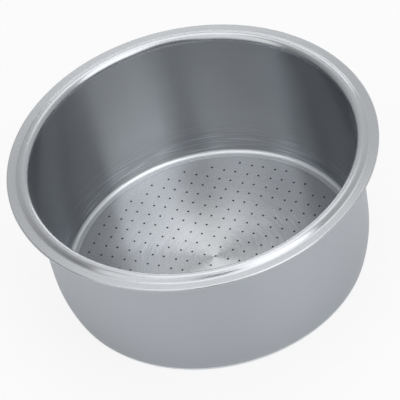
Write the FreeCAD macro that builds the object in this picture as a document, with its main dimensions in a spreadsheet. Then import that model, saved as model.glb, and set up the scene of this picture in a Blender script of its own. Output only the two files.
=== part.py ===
import FreeCAD, Part
import math
import os

import Sketcher
from FreeCAD import Vector

# Drawn espresso filter basket, one piece of stainless sheet.
# Millimetres. The underside of the floor lies on Z = 0, +Z points out of the mouth,
# and X and Y run along the columns and rows of the holes.

# Driving sizes: name, value, what it is
DRIVING_SIZES = [
    ("sheetThickness", 0.5, "thickness of the sheet, the same all over"),
    ("rimDiameter", 60.0, "outer diameter of the flange"),
    ("rimWidth", 2.62, "from the crest of the bead to the edge of the flange"),
    ("flangeHeight", 24.5, "top face of the flange above the underside of the floor"),
    ("beadRise", 0.6, "crest of the bead above the top face of the flange"),
    ("beadRadius", 1.0, "bead round the mouth, on its visible side"),
    ("beadRootRadius", 0.6, "hollow between bead and flange, on its visible side"),
    ("edgeRadius", 0.12, "rounding of the flange's trimmed edge"),
    ("wallDraft", 2.5, "lean of the straight wall, degrees"),
    ("shoulderRadius", 22.0, "long curve that draws the wall in, outside"),
    ("shoulderAngle", 19.4, "lean of the wall where the long curve meets the corner, degrees"),
    ("cornerRadius", 1.2, "corner between wall and floor, outside"),
    ("holeDiameter", 0.35, "one hole of the floor"),
    ("holePitch", 2.11, "distance between neighbouring holes"),
    ("columnShiftAcross", 0.066, "every other column stands this far off the even grid, in X"),
    ("columnShiftAlong", 0.05, "every other column stands this far off the even grid, in Y"),
    ("holeMargin", 2.1, "from the outermost hole centres to the start of the corner"),
    ("fieldShiftAcross", 0.12, "middle of the hole field off the basket's axis, in X"),
    ("fieldShiftAlong", 0.085, "middle of the hole field off the basket's axis, in Y"),
]

# The one place of the grid that was never pierced, counted from the middle hole
UNPIERCED_PLACE = (2, 6)

# Element positions in a sketch
START, END, CENTRE = 1, 2, 3
ORIGIN_ELEMENT, Y_AXIS_ELEMENT = -1, -2


def fill_sheet(doc):
    """Write the driving sizes into a spreadsheet, one row each."""
    sheet = doc.addObject("Spreadsheet::Sheet", "Sizes")
    for row, (alias, value, meaning) in enumerate(DRIVING_SIZES, start=1):
        sheet.set("A%d" % row, meaning)
        sheet.set("B%d" % row, str(value))
        sheet.setAlias("B%d" % row, alias)
    doc.recompute()
    return sheet


def origin_plane(body, role):
    """Return one of a body's own origin planes."""
    for feature in body.Origin.OriginFeatures:
        if feature.Role == role:
            return feature
    raise RuntimeError("no plane " + role)


def add_sketch(body, name, role):
    """Make a sketch on one of the body's origin planes."""
    sketch = body.newObject("Sketcher::SketchObject", name)
    sketch.AttachmentSupport = (origin_plane(body, role), [""])
    sketch.MapMode = "FlatFace"
    return sketch


def bind(sketch, constraint, expression):
    """Add a constraint whose value follows the spreadsheet."""
    index = sketch.addConstraint(constraint)
    sketch.setExpression("Constraints[%d]" % index, expression)


def polar(centre, radius, degrees):
    """Return the point at an angle round a centre, in the sketch plane."""
    angle = math.radians(degrees)
    return centre + Vector(radius * math.cos(angle), radius * math.sin(angle), 0)


def section_centres(sheet):
    """Work out where the arcs of the section have their centres."""
    draft = math.radians(sheet.wallDraft)
    lean = math.radians(sheet.shoulderAngle)
    bead = Vector(
        sheet.rimDiameter / 2 - sheet.rimWidth,
        sheet.flangeHeight + sheet.beadRise - sheet.beadRadius,
        0,
    )
    root_height = sheet.flangeHeight + sheet.beadRootRadius - bead.y
    reach = sheet.beadRadius + sheet.beadRootRadius
    root = bead + Vector(math.sqrt(reach**2 - root_height**2), root_height, 0)

    # From the bead the outer face of the wall runs down to the long curve
    radius_step = sheet.shoulderRadius - sheet.cornerRadius
    shoulder_height = sheet.cornerRadius + radius_step * math.sin(lean)
    bead_underside = sheet.beadRadius - sheet.sheetThickness
    wall_top = bead + Vector(-bead_underside * math.cos(draft), bead_underside * math.sin(draft), 0)
    wall_foot_height = shoulder_height - sheet.shoulderRadius * math.sin(draft)
    wall_foot = Vector(
        wall_top.x - (wall_top.y - wall_foot_height) * math.tan(draft),
        wall_foot_height,
        0,
    )
    shoulder = Vector(wall_foot.x - sheet.shoulderRadius * math.cos(draft), shoulder_height, 0)
    corner = Vector(shoulder.x + radius_step * math.cos(lean), sheet.cornerRadius, 0)
    return {"bead": bead, "root": root, "shoulder": shoulder, "corner": corner}


def add_face_outline(sketch, centres, sheet, radii, height):
    """Draw one face of the sheet, from the axis out to the flange, and return its elements."""
    up = Vector(0, 0, 1)
    draft, lean = sheet.wallDraft, sheet.shoulderAngle
    step = centres["root"] - centres["bead"]
    flank = math.degrees(math.atan2(step.y, step.x))
    sweeps = {
        "corner": (-90, -lean),
        "shoulder": (-lean, -draft),
        "bead": (flank, 180 - draft),
        "root": (180 + flank, 270),
    }
    face = {}
    for name, (first, last) in sweeps.items():
        circle = Part.Circle(centres[name], up, radii[name])
        arc = Part.ArcOfCircle(circle, math.radians(first), math.radians(last))
        face[name] = sketch.addGeometry(arc)

    corner_foot = polar(centres["corner"], radii["corner"], -90)
    wall_foot = polar(centres["shoulder"], radii["shoulder"], -draft)
    wall_top = polar(centres["bead"], radii["bead"], 180 - draft)
    flange_start = polar(centres["root"], radii["root"], 270)
    flange_end = Vector(sheet.rimDiameter / 2 - sheet.edgeRadius, flange_start.y, 0)
    face["floor"] = sketch.addGeometry(Part.LineSegment(Vector(0, height, 0), corner_foot))
    face["wall"] = sketch.addGeometry(Part.LineSegment(wall_foot, wall_top))
    face["flange"] = sketch.addGeometry(Part.LineSegment(flange_start, flange_end))

    joints = [
        ("floor", END, "corner", START),
        ("corner", END, "shoulder", START),
        ("shoulder", END, "wall", START),
        ("wall", END, "bead", END),
        ("bead", START, "root", START),
        ("root", END, "flange", START),
    ]
    for first, first_end, second, second_end in joints:
        joint = Sketcher.Constraint("Tangent", face[first], first_end, face[second], second_end)
        sketch.addConstraint(joint)
    sketch.addConstraint(Sketcher.Constraint("Horizontal", face["floor"]))
    sketch.addConstraint(Sketcher.Constraint("Horizontal", face["flange"]))
    return face


def add_rim_edge(sketch, sheet, inner, outer):
    """Close the flange with its slightly rounded edge and return the edge's elements."""
    up = Vector(0, 0, 1)
    rounding, rim_radius = sheet.edgeRadius, sheet.rimDiameter / 2
    top_centre = Vector(rim_radius - rounding, sheet.flangeHeight - rounding, 0)
    low_centre = Vector(
        rim_radius - rounding, sheet.flangeHeight - sheet.sheetThickness + rounding, 0
    )
    top_circle = Part.Circle(top_centre, up, rounding)
    low_circle = Part.Circle(low_centre, up, rounding)
    edge = {
        "top": sketch.addGeometry(Part.ArcOfCircle(top_circle, 0, math.pi / 2)),
        "low": sketch.addGeometry(Part.ArcOfCircle(low_circle, -math.pi / 2, 0)),
        "side": sketch.addGeometry(
            Part.LineSegment(polar(low_centre, rounding, 0), polar(top_centre, rounding, 0))
        ),
    }
    sketch.addConstraint(
        [
            Sketcher.Constraint("Tangent", outer["flange"], END, edge["low"], START),
            Sketcher.Constraint("Tangent", edge["low"], END, edge["side"], START),
            Sketcher.Constraint("Tangent", edge["side"], END, edge["top"], START),
            Sketcher.Constraint("Tangent", edge["top"], END, inner["flange"], END),
            Sketcher.Constraint("Equal", edge["top"], edge["low"]),
            Sketcher.Constraint("Vertical", edge["side"]),
        ]
    )
    return edge


def add_section(body, sheet):
    """Draw half of the basket's section: two parallel faces of one bent sheet."""
    sketch = add_sketch(body, "Section", "XZ_Plane")
    centres = section_centres(sheet)
    thickness = sheet.sheetThickness
    outer_radii = {
        "corner": sheet.cornerRadius,
        "shoulder": sheet.shoulderRadius,
        "bead": sheet.beadRadius - thickness,
        "root": sheet.beadRootRadius + thickness,
    }
    inner_radii = {
        "corner": sheet.cornerRadius - thickness,
        "shoulder": sheet.shoulderRadius - thickness,
        "bead": sheet.beadRadius,
        "root": sheet.beadRootRadius,
    }
    outer = add_face_outline(sketch, centres, sheet, outer_radii, 0)
    inner = add_face_outline(sketch, centres, sheet, inner_radii, thickness)
    edge = add_rim_edge(sketch, sheet, inner, outer)
    axis = sketch.addGeometry(Part.LineSegment(Vector(0, 0, 0), Vector(0, thickness, 0)))

    # The bends of both faces share their centres, so the sheet keeps its thickness
    for name in centres:
        joint = Sketcher.Constraint("Coincident", outer[name], CENTRE, inner[name], CENTRE)
        sketch.addConstraint(joint)
    sketch.addConstraint(
        [
            Sketcher.Constraint("Coincident", axis, START, ORIGIN_ELEMENT, START),
            Sketcher.Constraint("PointOnObject", axis, END, Y_AXIS_ELEMENT),
            Sketcher.Constraint("Coincident", outer["floor"], START, axis, START),
            Sketcher.Constraint("Coincident", inner["floor"], START, axis, END),
        ]
    )

    bead_radius = sheet.rimDiameter / 2 - sheet.rimWidth
    bead_height = sheet.flangeHeight + sheet.beadRise - sheet.beadRadius
    corner_sweep = math.radians(90 - sheet.shoulderAngle)
    shoulder_sweep = math.radians(sheet.shoulderAngle - sheet.wallDraft)
    origin = (ORIGIN_ELEMENT, START)
    dimensions = [
        ("DistanceY", (axis, START, axis, END), thickness, "Sizes.sheetThickness"),
        (
            "DistanceY",
            (outer["flange"], END, inner["flange"], END),
            thickness,
            "Sizes.sheetThickness",
        ),
        (
            "DistanceY",
            (*origin, inner["flange"], END),
            sheet.flangeHeight,
            "Sizes.flangeHeight",
        ),
        (
            "DistanceX",
            (*origin, edge["side"], START),
            sheet.rimDiameter / 2,
            "Sizes.rimDiameter / 2",
        ),
        (
            "DistanceX",
            (*origin, inner["bead"], CENTRE),
            bead_radius,
            "Sizes.rimDiameter / 2 - Sizes.rimWidth",
        ),
        (
            "DistanceY",
            (*origin, inner["bead"], CENTRE),
            bead_height,
            "Sizes.flangeHeight + Sizes.beadRise - Sizes.beadRadius",
        ),
        ("Radius", (outer["corner"],), sheet.cornerRadius, "Sizes.cornerRadius"),
        ("Radius", (outer["shoulder"],), sheet.shoulderRadius, "Sizes.shoulderRadius"),
        ("Radius", (inner["bead"],), sheet.beadRadius, "Sizes.beadRadius"),
        ("Radius", (inner["root"],), sheet.beadRootRadius, "Sizes.beadRootRadius"),
        ("Radius", (edge["top"],), sheet.edgeRadius, "Sizes.edgeRadius"),
        (
            "Angle",
            (outer["corner"],),
            corner_sweep,
            "(90 - Sizes.shoulderAngle) * 1 deg",
        ),
        (
            "Angle",
            (outer["shoulder"],),
            shoulder_sweep,
            "(Sizes.shoulderAngle - Sizes.wallDraft) * 1 deg",
        ),
    ]
    for kind, elements, value, expression in dimensions:
        bind(sketch, Sketcher.Constraint(kind, *elements, value), expression)
    return sketch


def turn_section(body, section):
    """Turn the section once round the Z axis."""
    turned = body.newObject("PartDesign::Revolution", "DrawnCup")
    turned.Profile = section
    turned.ReferenceAxis = (section, ["V_Axis"])
    turned.Angle = 360
    section.Visibility = False


def hole_columns(sheet):
    """Return the rows that are pierced in each column of the round hole field."""
    corner = section_centres(sheet)["corner"]
    field_radius = corner.x - sheet.holeMargin
    reach = int(field_radius / sheet.holePitch)
    columns = {}
    for column in range(-reach, reach + 1):
        rows = [
            row
            for row in range(-reach, reach + 1)
            if math.hypot(column, row) * sheet.holePitch <= field_radius
            and (column, row) != UNPIERCED_PLACE
        ]
        if rows:
            columns[column] = rows
    return columns


def add_punch_column(doc, sheet, column, rows):
    """Stand one column of round punches through the floor."""
    label = "Column%s%02d" % ("Minus" if column < 0 else "Plus", abs(column))
    sketch = doc.addObject("Sketcher::SketchObject", label)
    side = 1 if column % 2 else -1
    first_across = sheet.fieldShiftAcross + side * sheet.columnShiftAcross
    first_along = sheet.fieldShiftAlong - side * sheet.columnShiftAlong
    across = first_across + column * sheet.holePitch
    across_rule = (
        "Sizes.fieldShiftAcross + Sizes.columnShiftAcross * %d + Sizes.holePitch * %d"
        % (side, column)
    )
    along_rule = "Sizes.fieldShiftAlong - Sizes.columnShiftAlong * %d + Sizes.holePitch * %d"
    holes = []
    for row in rows:
        along = first_along + row * sheet.holePitch
        circle = Part.Circle(Vector(across, along, 0), Vector(0, 0, 1), sheet.holeDiameter / 2)
        hole = sketch.addGeometry(circle)
        place = (ORIGIN_ELEMENT, START, hole, CENTRE)
        bind(sketch, Sketcher.Constraint("DistanceX", *place, across), across_rule)
        bind(sketch, Sketcher.Constraint("DistanceY", *place, along), along_rule % (side, row))
        holes.append(hole)
    diameter = Sketcher.Constraint("Diameter", holes[0], sheet.holeDiameter)
    bind(sketch, diameter, "Sizes.holeDiameter")
    for hole in holes[1:]:
        sketch.addConstraint(Sketcher.Constraint("Equal", holes[0], hole))
    sketch.Visibility = False

    punches = doc.addObject("Part::Extrusion", label + "Punches")
    punches.Base = sketch
    punches.DirMode = "Normal"
    punches.Solid = True
    punches.setExpression("LengthFwd", "Sizes.sheetThickness * 2")
    punches.setExpression("LengthRev", "Sizes.sheetThickness")
    return punches


def pierce_floor(doc, cup, sheet):
    """Cut every column of holes through the floor in one go."""
    columns = hole_columns(sheet)
    punches = doc.addObject("Part::Compound", "Punches")
    punches.Links = [
        add_punch_column(doc, sheet, column, rows) for column, rows in columns.items()
    ]
    basket = doc.addObject("Part::Cut", "PiercedBasket")
    basket.Base = cup
    basket.Tool = punches
    basket.Label = "filter_basket"
    hole_count = sum(len(rows) for rows in columns.values())
    return basket, hole_count


def check_document(doc, basket, cup, hole_count, sheet):
    """Stop if any feature failed or the holes took away the wrong volume."""
    for item in doc.Objects:
        for state in ("Invalid", "Error"):
            if state in item.State:
                raise RuntimeError("%s is %s" % (item.Name, state))
    shape = basket.Shape
    if shape.isNull() or not shape.isValid() or len(shape.Solids) != 1:
        raise RuntimeError("the basket is not one valid solid")
    one_hole = math.pi * (sheet.holeDiameter / 2) ** 2 * sheet.sheetThickness
    taken = cup.Shape.Volume - shape.Volume
    if abs(taken - hole_count * one_hole) > one_hole / 2:
        raise RuntimeError("the holes took %.3f mm3" % taken)


def main():
    doc = FreeCAD.newDocument("FilterBasket")
    sheet = fill_sheet(doc)

    cup = doc.addObject("PartDesign::Body", "Cup")
    turn_section(cup, add_section(cup, sheet))
    basket, hole_count = pierce_floor(doc, cup, sheet)
    doc.recompute()
    check_document(doc, basket, cup, hole_count, sheet)

    os.makedirs("parts", exist_ok=True)
    solid = basket.Shape.Solids[0]
    solid.exportStep(os.path.join("parts", basket.Label + ".step"))
    box = solid.optimalBoundingBox(False)
    print("%s: %d holes, %.1f mm3" % (basket.Label, hole_count, solid.Volume))
    print("size %.3f x %.3f x %.3f mm" % (box.XLength, box.YLength, box.ZLength))


main()
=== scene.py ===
import math

import bmesh
import bpy
from mathutils import Matrix, Quaternion, Vector


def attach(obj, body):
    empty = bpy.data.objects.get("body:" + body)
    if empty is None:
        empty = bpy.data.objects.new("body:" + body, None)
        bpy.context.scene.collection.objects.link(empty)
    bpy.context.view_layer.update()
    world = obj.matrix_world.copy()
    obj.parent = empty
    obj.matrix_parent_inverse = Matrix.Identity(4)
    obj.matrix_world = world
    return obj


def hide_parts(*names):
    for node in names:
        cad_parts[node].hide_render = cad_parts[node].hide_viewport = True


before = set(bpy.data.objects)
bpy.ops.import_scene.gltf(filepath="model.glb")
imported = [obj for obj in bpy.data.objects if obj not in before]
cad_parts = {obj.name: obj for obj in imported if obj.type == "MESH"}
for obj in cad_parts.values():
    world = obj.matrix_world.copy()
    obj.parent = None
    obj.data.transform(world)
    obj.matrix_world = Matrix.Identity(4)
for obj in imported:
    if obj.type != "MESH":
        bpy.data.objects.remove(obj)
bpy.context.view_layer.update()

upAxis = Vector((0, 0, 1))


class Signal:  # wraps a node socket, so that shader maths reads as arithmetic
    def __init__(self, tree, socket):
        self.tree = tree
        self.socket = socket

    def combine(self, operation, first, second):
        return self.tree.node("ShaderNodeMath", {"operation": operation}, {0: first, 1: second})

    def __add__(self, other):
        return self.combine("ADD", self, other)

    def __radd__(self, other):
        return self.combine("ADD", other, self)

    def __sub__(self, other):
        return self.combine("SUBTRACT", self, other)

    def __rsub__(self, other):
        return self.combine("SUBTRACT", other, self)

    def __mul__(self, other):
        return self.combine("MULTIPLY", self, other)

    def __rmul__(self, other):
        return self.combine("MULTIPLY", other, self)

    def __truediv__(self, other):
        return self.combine("DIVIDE", self, other)

    def __rtruediv__(self, other):
        return self.combine("DIVIDE", other, self)

    def __gt__(self, other):
        return self.combine("GREATER_THAN", self, other)

    def __lt__(self, other):
        return self.combine("LESS_THAN", self, other)


class ShaderTree:  # one material's or world's nodes
    def __init__(self, owner):
        owner.use_nodes = True
        self.nodes = owner.node_tree.nodes
        self.links = owner.node_tree.links
        self.nodes.clear()

    def node(self, kind, settings, inputs, output=0):
        made = self.nodes.new(kind)
        for name, value in settings.items():
            setattr(made, name, value)
        for name, value in inputs.items():
            if isinstance(value, Signal):
                self.links.new(value.socket, made.inputs[name])
            else:
                made.inputs[name].default_value = value
        return Signal(self, made.outputs[output]) if made.outputs else made


def newPiece(name, mesh):
    piece = bpy.data.objects.new(name, mesh)
    bpy.context.scene.collection.objects.link(piece)
    return piece


camera = {
    "lens": 336.23,  # mm, on a 36 mm sensor
    "azimuth": 31.442,  # degrees, 0 looks along +Y
    "elevation": 44.231,
    "roll": -12.769,
    "distance": 0.60336,
    "aim": (-0.00103, 0.0010, 0.0125),
    "clip": (0.01, 20),
}


def around(azimuth, elevation):  # unit vector from the object towards a place in the studio
    turn = math.radians(camera["azimuth"] + azimuth)
    rise = math.radians(elevation)
    level = math.cos(rise)
    return Vector((math.sin(turn) * level, -math.cos(turn) * level, math.sin(rise)))


def addCamera():
    data = bpy.data.cameras.new("studioCamera")
    data.lens = camera["lens"]
    data.clip_start, data.clip_end = camera["clip"]
    eye = bpy.data.objects.new("studioCamera", data)
    bpy.context.scene.collection.objects.link(eye)
    back = around(0, camera["elevation"])
    eye.rotation_mode = "QUATERNION"
    level = (-back).to_track_quat("-Z", "Y")
    eye.rotation_quaternion = level @ Quaternion((0, 0, 1), math.radians(camera["roll"]))
    eye.location = Vector(camera["aim"]) + back * camera["distance"]
    bpy.context.scene.camera = eye


addCamera()
print("camera placed")


# The basket is one sheet: its section is drawn as two lines and turned round the axis.
basket = {
    "sheet": 0.0005,
    "rimRadius": 0.030,
    "rimWidth": 0.00262,  # crest of the bead to the edge of the flange
    "flangeTop": 0.0245,
    "beadRise": 0.0006,
    "beadRadius": 0.0010,
    "rootRadius": 0.0006,
    "edgeRadius": 0.00020,
    "wallLean": 2.5,
    "shoulderRadius": 0.0220,
    "shoulderLean": 19.4,
    "cornerRadius": 0.0012,
    "ringLead": 0.00065,  # the corner's painted highlight (its near-white finish) starts this far inside the bend
    "floorLead": 0.0012,  # and the section's lines this far, with the floor filled in after
    "supportGap": 0.00008,  # keeps the bends' shading off the straight runs
    "steps": {"corner": 14, "shoulder": 24, "bead": 30, "root": 12, "edge": 5, "turn": 360},
    "mergeDistance": 1e-7,
    "sharpAngle": 35,
}
holeField = {
    "diameter": 0.00035,
    "pitch": 0.00211,
    "shiftAcross": 0.000066,  # every other column stands off the even grid
    "shiftAlong": 0.00005,
    "margin": 0.0021,  # outermost hole centres to the start of the corner
    "middle": (0.00012, 0.000085),
    "unpierced": (2, 6),
    "sides": 12,
    "punchLength": 3,  # sheet thicknesses
}


def sectionCentres():
    b = basket
    lean = math.radians(b["wallLean"])
    shoulderLean = math.radians(b["shoulderLean"])
    crest = b["flangeTop"] + b["beadRise"]
    bead = Vector((b["rimRadius"] - b["rimWidth"], 0, crest - b["beadRadius"]))
    rootRise = b["flangeTop"] + b["rootRadius"] - bead.z
    reach = b["beadRadius"] + b["rootRadius"]
    root = bead + Vector((math.sqrt(reach**2 - rootRise**2), 0, rootRise))
    step = b["shoulderRadius"] - b["cornerRadius"]
    shoulderHeight = b["cornerRadius"] + step * math.sin(shoulderLean)
    under = b["beadRadius"] - b["sheet"]
    topHeight = bead.z + under * math.sin(lean)
    footHeight = shoulderHeight - b["shoulderRadius"] * math.sin(lean)
    footRadius = bead.x - under * math.cos(lean) - (topHeight - footHeight) * math.tan(lean)
    shoulder = Vector((footRadius - b["shoulderRadius"] * math.cos(lean), 0, shoulderHeight))
    corner = Vector((shoulder.x + step * math.cos(shoulderLean), 0, b["cornerRadius"]))
    flank = math.degrees(math.atan2(root.z - bead.z, root.x - bead.x))
    return {"bead": bead, "root": root, "shoulder": shoulder, "corner": corner, "flank": flank}


def bend(mesh, tip, centre, degrees, steps):  # carries the line on along an arc
    made = bmesh.ops.spin(
        mesh, geom=[tip], cent=centre, axis=(0, -1, 0), angle=math.radians(degrees), steps=steps,
    )
    return next(item for item in made["geom_last"] if isinstance(item, bmesh.types.BMVert))


def run(mesh, tip, end):  # carries the line on straight, with a support point near each end
    start = tip.co.copy()
    gap = (end - start).normalized() * basket["supportGap"]
    for place in (start + gap, end - gap, end):
        made = bmesh.ops.extrude_vert_indiv(mesh, verts=[tip])
        tip = made["verts"][0]
        tip.co = place
    return tip


def pointOn(centre, radius, degrees):
    angle = math.radians(degrees)
    return centre + Vector((radius * math.cos(angle), 0, radius * math.sin(angle)))


def drawFace(mesh, centres, inside):  # one face of the sheet, from the floor to the flange's edge
    b = basket
    offset = b["sheet"] if inside else 0
    bendOver = b["beadRadius"] - b["sheet"] + offset
    lean, shoulderLean, steps = b["wallLean"], b["shoulderLean"], b["steps"]
    foot = centres["corner"] + Vector((0, 0, offset - b["cornerRadius"]))
    tip = bmesh.ops.create_vert(mesh, co=foot - Vector((b["floorLead"], 0, 0)))["vert"][0]
    tip = run(mesh, tip, foot - Vector((b["ringLead"], 0, 0)))
    tip = run(mesh, tip, foot)
    tip = bend(mesh, tip, centres["corner"], 90 - shoulderLean, steps["corner"])
    tip = bend(mesh, tip, centres["shoulder"], shoulderLean - lean, steps["shoulder"])
    tip = run(mesh, tip, pointOn(centres["bead"], bendOver, 180 - lean))
    tip = bend(mesh, tip, centres["bead"], centres["flank"] - (180 - lean), steps["bead"])
    tip = bend(mesh, tip, centres["root"], 90 - centres["flank"], steps["root"])
    return run(mesh, tip, Vector((b["rimRadius"] - b["edgeRadius"], 0, tip.co.z)))


def turnSection(centres):
    b = basket
    mesh = bmesh.new()
    lowEnd = drawFace(mesh, centres, False)
    topEnd = drawFace(mesh, centres, True)
    edgeCentre = b["rimRadius"] - b["edgeRadius"]
    lowCentre = Vector((edgeCentre, 0, lowEnd.co.z + b["edgeRadius"]))
    topCentre = Vector((edgeCentre, 0, topEnd.co.z - b["edgeRadius"]))
    tip = bend(mesh, lowEnd, lowCentre, 90, b["steps"]["edge"])
    tip = run(mesh, tip, tip.co + Vector((0, 0, b["sheet"] - 2 * b["edgeRadius"])))
    bend(mesh, tip, topCentre, 90, b["steps"]["edge"])
    bmesh.ops.remove_doubles(mesh, verts=mesh.verts, dist=b["mergeDistance"])
    bmesh.ops.spin(
        mesh, geom=mesh.verts[:] + mesh.edges[:], cent=(0, 0, 0), axis=upAxis,
        angle=math.tau, steps=b["steps"]["turn"], use_merge=True,
    )
    bmesh.ops.remove_doubles(mesh, verts=mesh.verts, dist=b["mergeDistance"])
    openEdges = [edge for edge in mesh.edges if edge.is_boundary]
    bmesh.ops.edgeloop_fill(mesh, edges=openEdges)  # the flat floor, one face above and one below
    bmesh.ops.recalc_face_normals(mesh, faces=mesh.faces)
    made = bpy.data.meshes.new("turnedSheet")
    mesh.to_mesh(made)
    mesh.free()
    return newPiece("turnedBasket", made)


def makePunches(centres):
    h = holeField
    fieldRadius = centres["corner"].x - h["margin"]
    reach = int(fieldRadius / h["pitch"])
    mesh = bmesh.new()
    for column in range(-reach, reach + 1):
        side = 1 if column % 2 else -1
        for row in range(-reach, reach + 1):
            outside = math.hypot(column, row) * h["pitch"] > fieldRadius
            if outside or (column, row) == h["unpierced"]:
                continue
            place = Vector((
                h["middle"][0] + column * h["pitch"] + side * h["shiftAcross"],
                h["middle"][1] + row * h["pitch"] - side * h["shiftAlong"],
                basket["sheet"] / 2,
            ))
            bmesh.ops.create_cone(
                mesh, cap_ends=True, segments=h["sides"], radius1=h["diameter"] / 2,
                radius2=h["diameter"] / 2, depth=basket["sheet"] * h["punchLength"],
                matrix=Matrix.Translation(place),
            )
    made = bpy.data.meshes.new("punches")
    mesh.to_mesh(made)
    mesh.free()
    return newPiece("punches", made)


def makeBasket(centres):
    piece = turnSection(centres)
    punches = makePunches(centres)
    cut = piece.modifiers.new("pierce", "BOOLEAN")
    cut.operation = "DIFFERENCE"
    cut.solver = "EXACT"
    cut.object = punches
    pierced = piece.evaluated_get(bpy.context.evaluated_depsgraph_get())
    finished = bpy.data.meshes.new_from_object(pierced)
    piece.modifiers.clear()
    piece.data = finished
    bpy.data.objects.remove(punches)
    finished.shade_smooth()
    finished.set_sharp_from_angle(angle=math.radians(basket["sharpAngle"]))
    return piece


basketCentres = sectionCentres()
basketPiece = makeBasket(basketCentres)
print("basket turned and pierced:", len(basketPiece.data.polygons), "faces")


# Each part of the sheet's surface has its own finish. The parts are one steel, and their colours are
# lighter or darker copies of it: painted highlight and painted shade for how the light falls on each
# part. Sway is how far the turned marks lean to the side, and a shade ring is a painted dark line of
# shade in a crease of the corner's bend: a radius and a width (mm) and a depth of darkening.
finishes = {
    # painted shade: the outside is a darker copy of the steel than the rim
    "outsideSteelShaded": {
        "colour": (0.525, 0.551, 0.589), "roughness": 0.30, "anisotropy": 0.85, "grain": 0.05,
        "sway": 0.04, "relief": 0.03, "toneSpread": 0.03, "scratches": 0.0, "shadeRings": [],
    },
    "rimSteel": {
        "colour": (0.640, 0.660, 0.685), "roughness": 0.27, "anisotropy": 0.75, "grain": 0.03,
        "sway": 0.015, "relief": 0.01, "toneSpread": 0.02, "scratches": 0.0, "shadeRings": [],
    },
    # painted shade: the inner wall is a much darker copy of the steel, for the dim light inside the
    # basket
    "wallSteelShaded": {
        "colour": (0.388, 0.407, 0.429), "roughness": 0.30, "anisotropy": 1.0, "grain": 0.04,
        "sway": 0.10, "relief": 0.05, "toneSpread": 0.06, "scratches": 0.55, "shadeRings": [],
    },
    # painted highlight: the corner's bend is a near-white copy of the steel, for the bright ring of
    # light along it
    "cornerSteelHighlight": {
        "colour": (0.930, 0.958, 0.985), "roughness": 0.38, "anisotropy": 0.60, "grain": 0.04,
        "sway": 0.05, "relief": 0.03, "toneSpread": 0.04, "scratches": 0.0,
        # painted shade: two dark lines in the creases of the bend
        "shadeRings": [(23.15, 0.06, 0.20), (23.62, 0.07, 0.22)],
    },
    # painted highlight: the floor is a lighter copy of the steel than the rim
    "floorSteelLit": {
        "colour": (0.800, 0.819, 0.843), "roughness": 0.23, "anisotropy": 1.0, "grain": 0.05,
        "sway": 0.07, "relief": 0.05, "toneSpread": 0.06, "scratches": 0.0,
        # painted shade: a dark line where the floor runs into the bend
        "shadeRings": [(22.85, 0.06, 0.15)],
    },
    "holeSteelShaded": {  # the punched walls of the holes, painted near-black: painted shade for the dark inside the holes
        "colour": (0.020, 0.020, 0.021), "roughness": 0.60, "anisotropy": 0.0, "grain": 0.0,
        "sway": 0.0, "relief": 0.0, "toneSpread": 0.0, "scratches": 0.0, "shadeRings": [],
    },
}
steelMarks = {
    "fine": (5, 4, 3.0),  # each kind: how often round the axis, how often per mm across, detail
    "broad": (1.5, 1.6, 2.0),
    "leaning": (2.5, 4, 3.0),
    "scratched": (3, 7, 4.0),
    "fineShare": 0.6,
    "cloudScale": 140.0,
    "cloudDetail": 2.0,
    "cloudShare": 0.4,
    "cloudRoughness": 0.04,
    "depth": 0.00002,
    "brushingTurn": 0.25,  # a quarter turn of the shader's own direction of brushing
    "scratchTop": 6.5,  # mm above the underside, where the scratches on the wall end
    "scratchFade": 4.5,
    "scratchThreshold": 0.50,
    "scratchContrast": 8.0,
    "scratchShine": 2.2,
}
finishLimits = {
    "rimMargin": 0.0001,  # the rim's finish starts this far above the flange's underside
    "upright": 0.5,  # a face whose normal rises less than this stands up
    "holeReach": 0.0228,  # and if it is nearer the axis than this, it is a hole's wall
    "floorReach": 0.0239,
    "floorShare": 1.2,  # of the sheet's thickness: the floor's finish ends there
    "insideShare": 0.9,  # of the sheet's thickness: a face above it is on the inside
}


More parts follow.
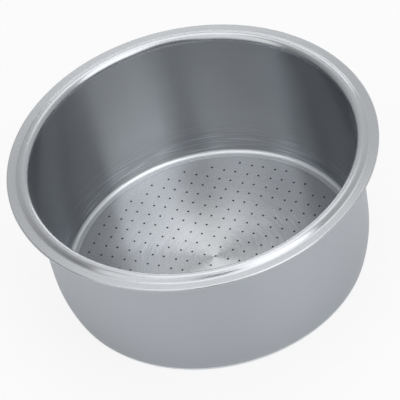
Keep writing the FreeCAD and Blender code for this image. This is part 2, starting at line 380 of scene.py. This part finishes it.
def makeSteel(name, finish):
    marking = steelMarks
    material = bpy.data.materials.new(name)
    tree = ShaderTree(material)
    place = tree.node("ShaderNodeTexCoord", {}, {}, "Object")
    x, y, z = [tree.node("ShaderNodeSeparateXYZ", {}, {0: place}, axis) for axis in range(3)]
    radius = tree.node("ShaderNodeMath", {"operation": "SQRT"}, {0: x * x + y * y})
    along = (radius + z) * 1000  # mm from the axis, measured along the sheet

    def turnedMarks(kind):  # noise drawn out round the axis
        length, fineness, detail = marking[kind]
        vector = tree.node("ShaderNodeCombineXYZ", {}, {
            0: x / radius * length, 1: y / radius * length, 2: along * fineness,
        })
        return tree.node("ShaderNodeTexNoise", {}, {
            "Vector": vector, "Scale": 1.0, "Detail": detail,
        }, "Fac")

    def blend(factor, first, second):
        return tree.node("ShaderNodeMix", {"data_type": "RGBA"}, {
            "Factor": factor, 6: first, 7: second,
        }, 2)

    clouds = tree.node("ShaderNodeTexNoise", {}, {
        "Vector": place, "Scale": marking["cloudScale"], "Detail": marking["cloudDetail"],
    }, "Fac")
    fineShare = marking["fineShare"]
    marks = turnedMarks("fine") * fineShare + turnedMarks("broad") * (1 - fineShare)
    mottle = marks * (1 - marking["cloudShare"]) + clouds * marking["cloudShare"]
    low = [c * (1 - finish["toneSpread"]) for c in finish["colour"]]
    high = [c * (1 + finish["toneSpread"]) for c in finish["colour"]]
    tone = blend(mottle, (*low, 1), (*high, 1))
    # painted shade: each shade ring darkens the tone towards black around its radius
    for ringRadius, ringWidth, shadeDepth in finish["shadeRings"]:
        offset = (radius * 1000 - ringRadius) / ringWidth
        ring = tree.node("ShaderNodeMath", {"operation": "EXPONENT"}, {0: offset * offset * -1})
        tone = blend(ring * shadeDepth, tone, (0, 0, 0, 1))
    if finish["scratches"]:
        reach = tree.node("ShaderNodeMath", {"operation": "DIVIDE", "use_clamp": True}, {
            0: marking["scratchTop"] - z * 1000, 1: marking["scratchFade"],
        })
        lines = tree.node("ShaderNodeMath", {"operation": "MULTIPLY", "use_clamp": True}, {
            0: turnedMarks("scratched") - marking["scratchThreshold"], 1: marking["scratchContrast"],
        })
        scratched = lines * reach * finish["scratches"]
        bright = [min(1.0, c * marking["scratchShine"]) for c in finish["colour"]]
        tone = blend(scratched, tone, (*bright, 1))
        marks = marks + scratched
    roughness = finish["roughness"] + (marks - 0.5) * finish["grain"]
    roughness = roughness + (clouds - 0.5) * marking["cloudRoughness"]
    sway = (turnedMarks("leaning") - 0.5) * finish["sway"]
    lean = tree.node("ShaderNodeCombineXYZ", {}, {0: y / radius * sway * -1, 1: x / radius * sway})
    facing = tree.node("ShaderNodeNewGeometry", {}, {}, "Normal")
    swayed = tree.node("ShaderNodeVectorMath", {"operation": "ADD"}, {0: facing, 1: lean})
    relief = tree.node("ShaderNodeBump", {}, {
        "Strength": finish["relief"], "Distance": marking["depth"], "Height": marks,
        "Normal": tree.node("ShaderNodeVectorMath", {"operation": "NORMALIZE"}, {0: swayed}),
    })
    shader = tree.node("ShaderNodeBsdfPrincipled", {}, {
        "Base Color": tone, "Metallic": 1.0, "Roughness": roughness, "Normal": relief,
        "Anisotropic": finish["anisotropy"], "Anisotropic Rotation": marking["brushingTurn"],
    })
    tree.node("ShaderNodeOutputMaterial", {}, {"Surface": shader})
    return material


def finishOf(face, ringStart, ringTop):
    spot, limits, sheet = face.center, finishLimits, basket["sheet"]
    fromAxis = math.hypot(spot.x, spot.y)
    inward = face.normal.x * spot.x + face.normal.y * spot.y < 0
    if spot.z > basket["flangeTop"] - sheet + limits["rimMargin"]:
        return "rimSteel"
    if abs(face.normal.z) < limits["upright"] and fromAxis < limits["holeReach"]:
        return "holeSteelShaded"
    inside = inward or spot.z > sheet * limits["insideShare"]
    if inside and spot.z < ringTop and fromAxis > ringStart:
        return "cornerSteelHighlight"
    if spot.z < sheet * limits["floorShare"] and fromAxis < limits["floorReach"]:
        return "floorSteelLit"
    return "wallSteelShaded" if inward else "outsideSteelShaded"


def finishBasket(piece, centres):
    names = list(finishes)
    for name in names:
        piece.data.materials.append(makeSteel(name, finishes[name]))
    innerBend = basket["cornerRadius"] - basket["sheet"]
    ringStart = centres["corner"].x - basket["ringLead"]
    bendAngle = math.radians(90 - basket["shoulderLean"])
    ringTop = basket["cornerRadius"] - innerBend * math.cos(bendAngle)
    for face in piece.data.polygons:
        face.material_index = names.index(finishOf(face, ringStart, ringTop))


basketPiece.data.materials.clear()
finishBasket(basketPiece, basketCentres)
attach(basketPiece, "root")
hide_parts("filter_basket")
print("steel finishes made")


# Places in the studio are given by their azimuth from the camera and their elevation.
studio = {
    "floorColour": (0.90, 0.90, 0.90),
    "floorRadius": 6.0,
    "floorSides": 96,
    "floorDrop": 0.00002,  # keeps the floor just clear of the basket
    "floorWhite": 0.85,  # how far the camera sees the floor as plain white
    "floorGleam": 0.12,  # and how far the metal does
    "coveredRadius": 0.0235,  # the floor under the basket stays dark behind the holes
    "baseGleam": 0.5,  # painted reflection: under the basket the floor glows white to glossy rays, so that the flat underside isn't black from below
    "worldLevel": 0.97,
    "darkSide": (-28, -9),  # the unlit side of the room
    "darkSideSpread": 0.5,
    "lampDistance": 1.5,
    "lamps": {  # azimuth, elevation, width, height, brightness
        "rightSoftbox": (39, 42, 1.10, 1.72, 1.36),
        "leftSoftbox": (-45, 39, 1.48, 1.88, 0.79),
        "topSoftbox": (168, 75, 1.00, 1.34, 0.93),
        "backSoftbox": (172, 15, 1.32, 0.45, 1.07),
    },
}


def makePaleFloor():
    material = bpy.data.materials.new("paleFloor")
    tree = ShaderTree(material)
    seen, glossy, passing = [
        tree.node("ShaderNodeLightPath", {}, {}, ray)
        for ray in ("Is Camera Ray", "Is Glossy Ray", "Is Transmission Ray")
    ]
    lit = tree.node("ShaderNodeBsdfDiffuse", {}, {"Color": (*studio["floorColour"], 1)})
    white = tree.node("ShaderNodeEmission", {}, {"Color": (1, 1, 1, 1), "Strength": 1.0})
    place = tree.node("ShaderNodeTexCoord", {}, {}, "Object")
    fromAxis = tree.node("ShaderNodeVectorMath", {"operation": "LENGTH"}, {0: place}, "Value")
    outside = fromAxis > studio["coveredRadius"]
    share = (seen * studio["floorWhite"] + (glossy + passing) * studio["floorGleam"]) * outside
    # painted reflection: under the basket the floor glows white to glossy rays only
    share = share + glossy * (1 - outside) * studio["baseGleam"]
    above = tree.node("ShaderNodeMixShader", {}, {0: share, 1: lit, 2: white})
    behind = tree.node("ShaderNodeNewGeometry", {}, {}, "Backfacing")
    clear = tree.node("ShaderNodeBsdfTransparent", {}, {})  # lets the underside be seen from below
    shader = tree.node("ShaderNodeMixShader", {}, {0: behind, 1: above, 2: clear})
    tree.node("ShaderNodeOutputMaterial", {}, {"Surface": shader})
    return material


def addFloor():
    mesh = bmesh.new()
    bmesh.ops.create_circle(
        mesh, cap_ends=True, segments=studio["floorSides"], radius=studio["floorRadius"],
        matrix=Matrix.Translation((0, 0, -studio["floorDrop"])),
    )
    made = bpy.data.meshes.new("studioFloor")
    mesh.to_mesh(made)
    mesh.free()
    made.materials.append(makePaleFloor())
    newPiece("studioFloor", made)


def addLamp(name, azimuth, elevation, width, height, brightness):
    data = bpy.data.lights.new(name, "AREA")
    data.shape = "RECTANGLE"
    data.size, data.size_y = width, height
    data.energy = brightness * math.pi * width * height
    lamp = bpy.data.objects.new(name, data)
    bpy.context.scene.collection.objects.link(lamp)
    away = around(azimuth, elevation)
    lamp.location = away * studio["lampDistance"]
    lamp.rotation_mode = "QUATERNION"
    lamp.rotation_quaternion = (-away).to_track_quat("-Z", "Y")


def addWorld():
    world = bpy.data.worlds.new("studioWorld")
    tree = ShaderTree(world)
    direction = tree.node("ShaderNodeTexCoord", {}, {}, "Generated")
    facing = tree.node("ShaderNodeVectorMath", {"operation": "DOT_PRODUCT"}, {
        0: direction, 1: around(*studio["darkSide"]),
    }, "Value")
    gloom = tree.node("ShaderNodeMath", {"operation": "EXPONENT"}, {
        0: (facing - 1) * studio["darkSideSpread"],
    })
    light = tree.node("ShaderNodeBackground", {}, {
        "Color": (1, 1, 1, 1), "Strength": studio["worldLevel"] * (1 - gloom),
    })
    tree.node("ShaderNodeOutputWorld", {}, {"Surface": light})
    bpy.context.scene.world = world


addFloor()
addWorld()
for lampName, lampValues in studio["lamps"].items():
    addLamp(lampName, *lampValues)
bpy.context.scene.view_settings.view_transform = "Standard"
print("studio lit")
